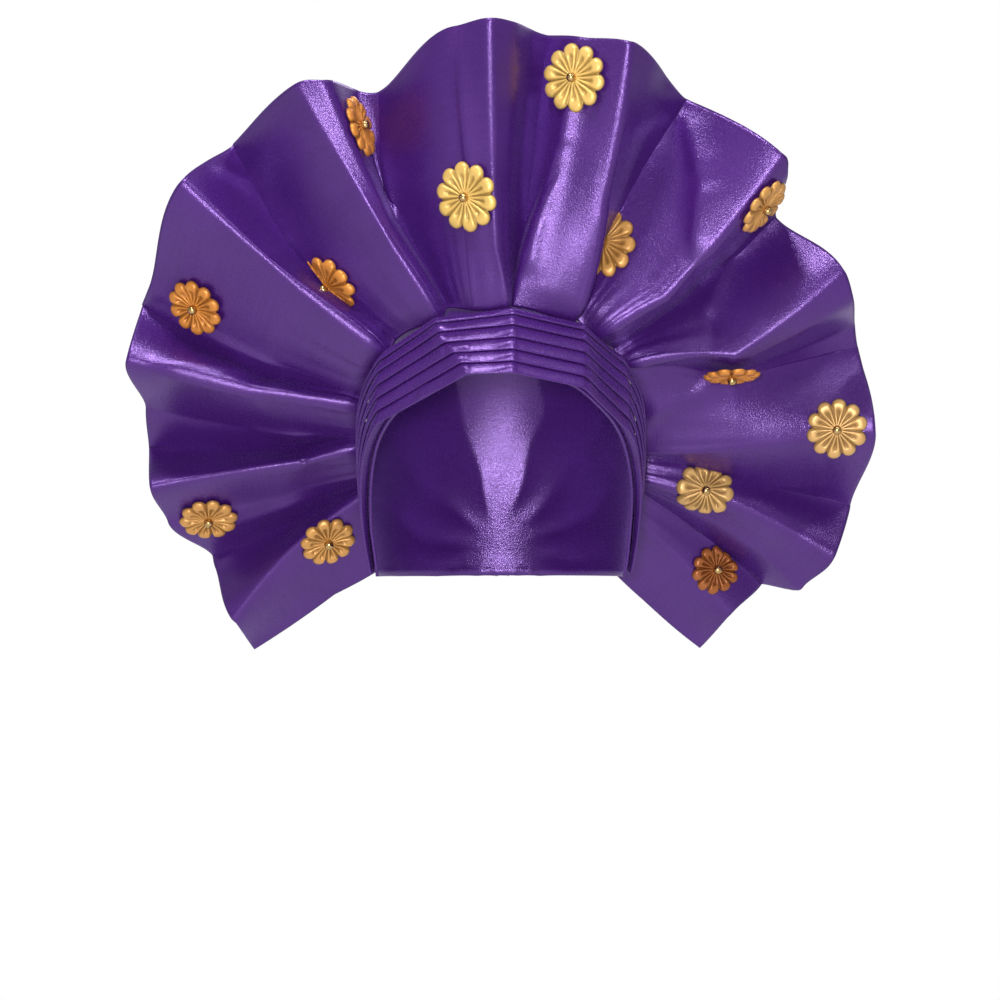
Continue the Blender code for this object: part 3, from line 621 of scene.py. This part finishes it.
def crumpled(points, columns, outs):
    """How far the cloth stands off its plain pleats: slow dents, fine pulls at the seam, pressed nips."""
    rows, count = points.shape[:2]
    stand = np.zeros((rows, count))
    for i in range(count):
        left, right, share = columns[i]
        for j in range(rows):
            at = Vector(points[j, i])
            slow = noise.noise(Vector((at.x * 24, at.z * 24, 3.1)))
            brisk = noise.noise(Vector((at.x * 60, at.z * 60, 8.3)))
            pull = noise.noise(Vector((i * 0.42, outs[j] * 1.6, 2.7)))
            crease = abs(noise.noise(Vector((at.x * 11 + 2.0, at.z * 11, 5.7))))
            stand[j, i] = SLOW_DENTS * slow + BRISK_DENTS * brisk + SOFT_CREASES * crease
            stand[j, i] += SEAM_PULLS * pull * max(0.0, 1 - outs[j] / PULL_REACH)
    x, z = (points[:, :, 0] - RUFF_SIDE_SHIFT) / RUFF_REACH, points[:, :, 2] / RUFF_REACH
    for start_x, start_z, end_x, end_z, width, height, lean in NIPS:
        run = np.array([end_x - start_x, end_z - start_z])
        length = np.linalg.norm(run)
        run /= length
        gone = ((x - start_x) * run[0] + (z - start_z) * run[1]) / length
        side = ((z - start_z) * run[0] - (x - start_x) * run[1]) * RUFF_REACH / width
        skewed = side / np.where(side > 0, 1 + lean, 1 - lean)
        ends = ramp(gone, -0.15, 0.25) * ramp(gone, 1.15, 0.75)
        stand += NIP_GAIN * height * np.exp(-np.abs(skewed) ** NIP_SHARPNESS) * ends
    return stand


controls, crease_columns = ruff_controls()
row_shares = np.array([(j / RUFF_ROWS) ** ROW_EASE for j in range(RUFF_ROWS + 1)])
plain = np.stack([ruff_column(left, right, share, row_shares) for left, right, share in controls], axis=1)
plain[:, 1:-1] = (plain[:, :-2] + 2 * plain[:, 1:-1] + plain[:, 2:]) / 4
edge_fade = (ramp(row_shares, 0.0, 0.10) * 0.9 + 0.1)[:, None]
pleats = plain + square_to(plain) * (crumpled(plain, controls, row_shares) * edge_fade)[:, :, None]


def ruff_corner(column, row):
    return Vector(pleats[row, column])


ruff_cloth = cloth_grid(len(controls) - 1, RUFF_ROWS, ruff_corner, 1.05, 0.155)
if sum(face.normal.y for face in ruff_cloth.faces) > 0:
    bmesh.ops.reverse_faces(ruff_cloth, faces=ruff_cloth.faces)
pleated_satin = finished("pleated_satin", ruff_cloth, satin)
walled(pleated_satin, RUFF_THICKNESS, 1)
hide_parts("pleated_ruff")


# The knot at the nape
# The two ends of the cloth tied once and tucked in: a tight middle wound with a narrow end, and a flat
# gathered loop to each side.

KNOT_SPAN = 0.096
KNOT_HEIGHT = 0.034
KNOT_DEPTH = 0.017
KNOT_GAP = 0.0004
KNOT_AROUND, KNOT_ALONG = 72, 120
KNOT_PLEATS, WIND_PITCH = 9, 0.055
KNOT_ROWS = (
    # along, height, depth
    (-0.50, 0.62, 0.30),
    (-0.38, 0.95, 0.42),
    (-0.24, 0.72, 0.55),
    (-0.13, 0.42, 0.62),
    (-0.10, 0.78, 0.92),
    (0.00, 0.88, 1.00),
    (0.10, 0.78, 0.92),
    (0.13, 0.42, 0.62),
    (0.24, 0.72, 0.55),
    (0.38, 0.95, 0.42),
    (0.50, 0.62, 0.30),
)


def knot_corner(column, row):
    place = row / KNOT_ALONG * (len(KNOT_ROWS) - 1)
    along, height_share, depth_share = (along_rows(values, place) for values in zip(*KNOT_ROWS))
    angle = 2 * math.pi * (column % KNOT_AROUND) / KNOT_AROUND
    loop = float(ramp(abs(along), 0.11, 0.16))
    gather = math.sin(angle * KNOT_PLEATS + 3 * math.sin(along * 9)) * 0.06 * loop
    wound = math.sin((along * 0.9 + math.sin(angle) * 0.02) * 2 * math.pi / WIND_PITCH) * 0.05 * (1 - loop)
    swell = 1 + gather * (1.2 - abs(along)) + wound
    level = -NAPE_DROP + KNOT_HEIGHT / 2
    end = 1 - float(ramp(abs(along), 0.47, 0.50)) * 0.35
    z = level + KNOT_HEIGHT * height_share / 2 * math.sin(angle) * swell * end
    stand_off = KNOT_GAP + KNOT_DEPTH * depth_share * (1 + math.cos(angle) * swell) / 2 * 0.96
    x = along * KNOT_SPAN
    turn = 180 - math.degrees(math.asin(x / (WRAP_BREADTH / 2 * wrap_scale(level))))
    return wrap_point(turn, z, max(stand_off, KNOT_GAP))


knot = cloth_grid(KNOT_AROUND, KNOT_ALONG, knot_corner, 0.09, 0.11)
bmesh.ops.remove_doubles(knot, verts=knot.verts, dist=WELD)
open_ends = [edge for edge in knot.edges if edge.is_boundary]
bmesh.ops.holes_fill(knot, edges=open_ends, sides=0)
bmesh.ops.recalc_face_normals(knot, faces=knot.faces)
tied_ends = finished("tied_ends", knot, satin)
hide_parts("nape_knot")


# The gilt flowers
# Ten petals stamped from thin gilded leather over a little padding, each petal domed at its tip with a
# groove down its middle, and sewn through the middle to the pleats.

FLOWER_DIAMETER = 0.0380
FLOWER_THICKNESS = 0.0013
LEATHER = 0.0006
PETALS = 10
LOBE_CENTRE, LOBE_REACH = 0.755, 0.248
PUFF, PETAL_EDGE = 0.0006, 0.17
PETAL_WELD = 0.00001
FLOWER_GAP = 0.0005
GAP_STEP, GAP_LIMIT = 0.0002, 0.003
TUCK_COLUMNS, PRESSED_COLUMNS = 4.0, 4.0
PRESSED_SHARE = 0.2
MIDDLE_SPAN, FACE_SPAN = 0.24, 0.07
BRIDGE_PASSES = 20
FLOWER_ROUND, FLOWER_OUT = 200, 26
# The flowers' leathers differ partly in real hue and partly by painted shade: the lit flowers at the top are
# paler, those lower down or lying in valleys darker, and the darkest, in the valley low on the right, is
# mostly painted shade.
LEATHERS = {
    "pale": (0.700, 0.450, 0.120),
    "beige": (0.560, 0.325, 0.110),
    "tan": (0.560, 0.275, 0.070),
    "orange": (0.600, 0.220, 0.032),
    "shaded_brown": (0.310, 0.090, 0.016),
}
FLOWERS = (
    # crease, across, out, size, spin, stiffness, leather
    ("left_hem", 0.72, 0.34, 0.84, 8, 0.85, "tan"),
    ("valley_1", 0.85, 0.81, 0.86, 20, 0.85, "tan"),
    ("swell_3", 0.20, 0.78, 0.88, 4, 0.85, "orange"),
    ("valley_4", 0.09, 0.34, 0.95, 12, 0.00, "orange"),
    ("ridge_5", 0.50, 0.82, 0.92, 0, 0.90, "orange"),
    ("swell_5", 0.13, 0.40, 1.02, 0, 0.92, "pale"),
    ("swell_6", 0.04, 0.85, 1.00, 14, 0.70, "pale"),
    ("valley_7", 0.13, 0.32, 1.00, 6, 0.00, "tan"),
    ("ridge_8", 0.37, 0.84, 0.90, 16, 0.80, "tan"),
    ("ridge_9", 0.50, 0.43, 0.84, 0, 0.90, "orange"),
    ("valley_9", 0.87, 0.84, 0.90, 10, 0.75, "beige"),
    ("valley_10", 0.84, 0.34, 0.86, 3, 0.00, "beige"),
    ("valley_11", 0.56, 0.73, 0.74, 18, 0.25, "shaded_brown"),
)


def gilt_leather(name, leather):
    """Thin leather with a soft gilt face, its grooves darkened with painted shade."""
    finish = bpy.data.materials.new(name)
    finish.use_nodes = True
    tree = finish.node_tree
    shader = tree.nodes["Principled BSDF"]
    place = tree.nodes.new("ShaderNodeTexCoord")
    grain = node(tree, "ShaderNodeTexNoise", Scale=900.0, Detail=3.0)
    cloud = node(tree, "ShaderNodeTexNoise", Scale=160.0, Detail=2.0)
    groove_shade_mask = node(tree, "ShaderNodeAttribute", attribute_name="groove_shade_mask")
    tree.links.new(place.outputs["Object"], grain.inputs["Vector"])
    tree.links.new(place.outputs["Object"], cloud.inputs["Vector"])
    base = Vector(LEATHERS[leather])
    face = node(tree, "ShaderNodeMix", data_type="RGBA")
    face.inputs["A"].default_value = (*base, 1)
    face.inputs["B"].default_value = (*(base * 0.80), 1)
    # Painted shade: the grooves down and between the petals are darkened to a third of the leather's colour.
    painted_groove_shade = node(tree, "ShaderNodeMix", data_type="RGBA")
    painted_groove_shade.inputs["B"].default_value = (*(base * 0.32), 1)
    tree.links.new(cloud.outputs["Fac"], face.inputs["Factor"])
    tree.links.new(face.outputs["Result"], painted_groove_shade.inputs["A"])
    tree.links.new(groove_shade_mask.outputs["Fac"], painted_groove_shade.inputs["Factor"])
    tree.links.new(painted_groove_shade.outputs["Result"], shader.inputs["Base Color"])
    relief = node(tree, "ShaderNodeBump", Strength=0.35, Distance=0.0002)
    tree.links.new(grain.outputs["Fac"], relief.inputs["Height"])
    tree.links.new(relief.outputs["Normal"], shader.inputs["Normal"])
    shader.inputs["Roughness"].default_value = 0.40
    shader.inputs["Metallic"].default_value = 0.35
    return finish


cloth_front = pleats + square_to(pleats) * RUFF_THICKNESS
eased_front = cloth_front.copy()
for _ in range(BRIDGE_PASSES):
    eased_front[:, 1:-1] = (eased_front[:, :-2] + 2 * eased_front[:, 1:-1] + eased_front[:, 2:]) / 4
fronts = cloth_front.copy()
fronts[:, :, 1] = np.minimum(cloth_front[:, :, 1], eased_front[:, :, 1])


def cloth_at(row, column):
    """Points on the ruff's front, its valleys bridged as stiff leather does, at places on its grid."""
    rows, columns = fronts.shape[:2]
    row, column = np.clip(row, 0, rows - 1.001), np.clip(column, 0, columns - 1.001)
    j, i = row.astype(int), column.astype(int)
    g, f = (row - j)[:, None], (column - i)[:, None]
    lower = blend(fronts[j, i], fronts[j, i + 1], f)
    upper = blend(fronts[j + 1, i], fronts[j + 1, i + 1], f)
    return blend(lower, upper, g)


def walked(row, column, across, out, least=0.0):
    """The places reached by going out and then across along the cloth, stopped at the least column."""
    for _ in range(6):
        pace = np.linalg.norm(cloth_at(row + 1, column) - cloth_at(row - 1, column), axis=1) / 2
        row = row + out / 6 / np.maximum(pace, 1e-6)
    left = np.abs(across)
    sign = np.sign(across) * 0.6
    here = cloth_at(row, column)
    for _ in range(80):
        there = cloth_at(row, column + sign)
        gone = np.maximum(np.linalg.norm(there - here, axis=1), 1e-9)
        part = np.clip(left / gone, 0, 1)
        column = np.maximum(column + sign * part, least)
        left = left - gone * part
        if left.max() < 1e-7:
            break
        here = cloth_at(row, column)
    return row, column


def lie_of(row, column, reach, least=0.0):
    """The ways clockwise, outward and square to the cloth at places, over a reach to each side."""
    far, zero = np.full(len(row), reach), np.zeros(len(row))
    ways = ((far, zero), (-far, zero), (zero, far), (zero, -far))
    ends = [cloth_at(*walked(row, column, across, out, least)) for across, out in ways]
    clockwise, outward = ends[0] - ends[1], ends[2] - ends[3]
    clockwise /= np.linalg.norm(clockwise, axis=1, keepdims=True)
    square = np.cross(clockwise, outward)
    square /= np.linalg.norm(square, axis=1, keepdims=True)
    return clockwise, np.cross(square, clockwise), square


class LaidPlace:
    """A place where a flower is sewn: it partly follows the cloth and partly stays flat.

    One with no stiffness sits in its valley, and what would pass the bottom is pressed together beside it.
    """

    def __init__(self, crease, across, out, stiffness):
        names = [row[0] for row in CREASES]
        start, end = crease_columns[crease], crease_columns[names[names.index(crease) + 1]]
        self.column = np.array([blend(start, end, across)])
        self.least = 0.0 if stiffness else start + TUCK_COLUMNS
        self.row = np.array([float(np.interp(out, row_shares, range(len(row_shares))))])
        lies = lie_of(self.row, self.column, FLOWER_DIAMETER * MIDDLE_SPAN, self.least)
        self.ways = [way[0] for way in lies]
        self.middle, self.stiffness = cloth_at(self.row, self.column)[0], stiffness

    def laid(self, across, out):
        """Where points measured along the cloth from here lie, and the ways in which they are lifted."""
        start = np.ones(len(across))
        row, column = walked(self.row * start, self.column * start, across, out, self.least)
        clockwise, outward, square = self.ways
        flat = self.middle + np.outer(across, clockwise) + np.outer(out, outward)
        lies = lie_of(row, column, FLOWER_DIAMETER * FACE_SPAN, self.least)[2]
        free = ramp(column - self.least, 0.0, PRESSED_COLUMNS) if self.least else start
        ways = blend(lies, square, self.stiffness) * blend(PRESSED_SHARE, 1.0, free)[:, None]
        return blend(cloth_at(row, column), flat, self.stiffness), ways


def petal_relief(share, angle):
    """The outline, the height as a share of the puff and the grooves' depth for their painted shade, at an
    angle and a share out.
    """
    pitch = 2 * math.pi / PETALS
    off = (angle / pitch - np.floor(angle / pitch)) - 0.5
    bend = off * pitch
    outline = LOBE_CENTRE * np.cos(bend) + np.sqrt(LOBE_REACH**2 - (LOBE_CENTRE * np.sin(bend)) ** 2)
    inside = np.clip((1 - share) * outline / PETAL_EDGE, 0, 1)
    dome = np.sqrt(np.clip(1 - (1 - inside) ** 2, 0, 1))
    reach = share * outline
    notch = np.exp(-(((0.5 - np.abs(off)) / (0.075 + 0.03 * reach)) ** 2)) * ramp(reach, 0.10, 0.28)
    tongue_width = 0.045 + 0.10 * ramp(reach, 0.15, 0.60)
    tongue = np.exp(-((off / tongue_width) ** 2)) * ramp(reach, 0.16, 0.30) * (1 - ramp(reach, 0.56, 0.72))
    tip = 1 + 0.35 * ramp(reach, 0.45, 0.72) - 0.25 * ramp(reach, 0.80, 1.0)
    height = dome * tip * (1 - 0.80 * notch) * (1 - 0.72 * tongue)
    return outline, height, np.clip(0.8 * notch + 0.75 * tongue, 0, 1)


def flower_form(place, size, spin):
    """The flower's face on the cloth, and the way and the share by which each corner is lifted off it."""
    radius = FLOWER_DIAMETER / 2 * size
    flower = bmesh.new()
    groove_shade_mask = flower.verts.layers.float.new("groove_shade_mask")
    bmesh.ops.create_grid(flower, x_segments=FLOWER_ROUND, y_segments=FLOWER_OUT, size=1.0)
    angle = np.array([(corner.co.x + 1) * math.pi for corner in flower.verts])
    share = np.array([((corner.co.y + 1) / 2) ** 0.85 for corner in flower.verts])
    outline, height, depth = petal_relief(share, angle)
    turned = angle + math.radians(spin)
    reach = radius * share * outline
    points, ways = place.laid(reach * np.cos(turned), reach * np.sin(turned))
    # Each corner keeps its grooves' depth as its share of painted shade.
    for corner, dark in zip(flower.verts, depth):
        corner[groove_shade_mask] = dark
    return flower, points, ways, height


def lifted(flower, points, ways, height):
    """Moves the flower's corners to their points, each lifted its own way by its height."""
    for corner, point in zip(flower.verts, points + ways * height[:, None]):
        corner.co = point


def front_corner(column, row):
    return Vector(cloth_front[row, column])


front_cloth = cloth_grid(len(controls) - 1, RUFF_ROWS, front_corner, 1.0, 1.0)
ruff_tree = BVHTree.FromBMesh(front_cloth)
front_cloth.free()
flower_places = []
for number, (crease, across, out, size, spin, stiffness, leather) in enumerate(FLOWERS, 1):
    place = LaidPlace(crease, across, out, stiffness)
    flower, points, ways, height = flower_form(place, size, spin)
    gap = FLOWER_GAP
    lifted(flower, points, ways, np.full(len(height), gap))
    while stiffness and gap < GAP_LIMIT and BVHTree.FromBMesh(flower).overlap(ruff_tree):
        gap += GAP_STEP
        lifted(flower, points, ways, np.full(len(height), gap))
    lifted(flower, points, ways, gap + LEATHER + height * (FLOWER_THICKNESS + PUFF))
    bmesh.ops.remove_doubles(flower, verts=flower.verts, dist=PETAL_WELD)
    bmesh.ops.recalc_face_normals(flower, faces=flower.faces)
    if sum(face.normal.dot(Vector(place.ways[2])) for face in flower.faces) < 0:
        bmesh.ops.reverse_faces(flower, faces=flower.faces)
    gilding = gilt_leather(f"gilt_leather_{number:02d}", leather)
    petals = finished(f"gilt_flower_{number:02d}", flower, gilding)
    walled(petals, LEATHER, -1)
    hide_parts(f"flower_{number:02d}")
    flower_places.append((place, gap))


# The beads
# A small polished brass bead in the middle of each flower, on a thin turned collar, held by the thread that
# sews the flower on.

BEAD_DIAMETER = 0.0052
BEAD_SEAT, BEAD_SQUASH = 0.8, 0.92
COLLAR_DROP, COLLAR_WIDTH, COLLAR_REACH = 0.45, 0.14, 0.13


def bead_brass():
    """Polished brass, with a little wear."""
    finish = bpy.data.materials.new("bead_brass")
    finish.use_nodes = True
    tree = finish.node_tree
    shader = tree.nodes["Principled BSDF"]
    place = tree.nodes.new("ShaderNodeTexCoord")
    wear = node(tree, "ShaderNodeTexNoise", Scale=700.0, Detail=2.0)
    tree.links.new(place.outputs["Object"], wear.inputs["Vector"])
    colour = node(tree, "ShaderNodeMix", data_type="RGBA")
    colour.inputs["A"].default_value = (0.560, 0.380, 0.160, 1)
    colour.inputs["B"].default_value = (0.400, 0.240, 0.090, 1)
    rough = ranged(tree, (0.0, 1.0), (0.12, 0.38))
    tree.links.new(wear.outputs["Fac"], colour.inputs["Factor"])
    tree.links.new(wear.outputs["Fac"], rough.inputs["Value"])
    tree.links.new(colour.outputs["Result"], shader.inputs["Base Color"])
    tree.links.new(rough.outputs["Result"], shader.inputs["Roughness"])
    shader.inputs["Metallic"].default_value = 1.0
    return finish


brass = bead_brass()
for number, (place, gap) in enumerate(flower_places, 1):
    radius = BEAD_DIAMETER / 2
    outward = Vector(place.ways[2])
    low = Vector(place.laid(np.zeros(1), np.zeros(1))[0][0]) + outward * (gap + FLOWER_THICKNESS + PUFF)
    facing = outward.to_track_quat("Z", "Y").to_matrix().to_4x4()
    stand = Matrix.Translation(low + outward * radius * BEAD_SEAT) @ facing
    bead = bmesh.new()
    bmesh.ops.create_icosphere(bead, subdivisions=4, radius=radius)
    for corner in bead.verts:
        collar = math.exp(-(((corner.co.z / radius + COLLAR_DROP) / COLLAR_WIDTH) ** 2))
        corner.co.xy *= 1 + COLLAR_REACH * collar
        corner.co.z *= BEAD_SQUASH
    bmesh.ops.transform(bead, matrix=stand, verts=bead.verts)
    made = finished(f"brass_bead_{number:02d}", bead, brass)
    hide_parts(f"flower_bead_{number:02d}")


# The studio
# A plain pale floor well below the head tie, a small bright panel beside the lens, others above the brow, to
# each side and behind, and a long lens level with the opening.

FLOOR_DROP, FLOOR_RADIUS = 0.75, 4.0
VIEW_DISTANCE, VIEW_SPAN = 6.0, 0.550
floor_mesh = bmesh.new()
bmesh.ops.create_circle(floor_mesh, cap_ends=True, segments=96, radius=FLOOR_RADIUS)
for corner in floor_mesh.verts:
    corner.co.z = -FLOOR_DROP
floor_data = bpy.data.meshes.new("floor")
floor_mesh.to_mesh(floor_data)
floor_mesh.free()
floor = bpy.data.objects.new("floor", floor_data)
pale = bpy.data.materials.new("pale_floor")
pale.use_nodes = True
pale.node_tree.nodes["Principled BSDF"].inputs["Base Color"].default_value = (0.72, 0.72, 0.73, 1)
pale.node_tree.nodes["Principled BSDF"].inputs["Roughness"].default_value = 0.9
floor_data.materials.append(pale)
bpy.context.scene.collection.objects.link(floor)

world = bpy.data.worlds.new("studio")
world.use_nodes = True
sky = world.node_tree
seen = sky.nodes.new("ShaderNodeLightPath")
backing = node(sky, "ShaderNodeMix", data_type="RGBA")
backing.inputs["A"].default_value = (0.42, 0.42, 0.44, 1)
backing.inputs["B"].default_value = (1, 1, 1, 1)
sky.links.new(seen.outputs["Is Camera Ray"], backing.inputs["Factor"])
sky.links.new(backing.outputs["Result"], sky.nodes["Background"].inputs["Color"])
bpy.context.scene.world = world

LIGHTS = (
    # name, place, size, power
    ("front_panel", (-0.12, -3.3, 0.12), 0.30, 88),
    ("brow_panel", (-0.55, -1.5, 3.0), 0.55, 95),
    ("left_panel", (-2.6, -2.2, 1.0), 1.2, 4),
    ("right_panel", (1.5, -1.7, 2.4), 0.5, 14),
    ("back_panel", (0.8, 2.8, 1.9), 1.8, 30),
)
for name, spot, size, power in LIGHTS:
    lamp = bpy.data.lights.new(name, "AREA")
    lamp.shape, lamp.size, lamp.energy = "DISK", size, power
    made = bpy.data.objects.new(name, lamp)
    made.location = spot
    made.rotation_euler = (Vector((0, 0, 0.05)) - Vector(spot)).to_track_quat("-Z", "Y").to_euler()
    bpy.context.scene.collection.objects.link(made)

lens = bpy.data.cameras.new("camera")
lens.lens, lens.clip_end = 36 * VIEW_DISTANCE / VIEW_SPAN, 40
camera = bpy.data.objects.new("camera", lens)
camera.location = (-0.0005, -VIEW_DISTANCE, -0.033)
camera.rotation_euler = (math.radians(90), 0, 0)
bpy.context.scene.collection.objects.link(camera)
bpy.context.scene.camera = camera
bpy.context.scene.view_settings.view_transform = "Standard"
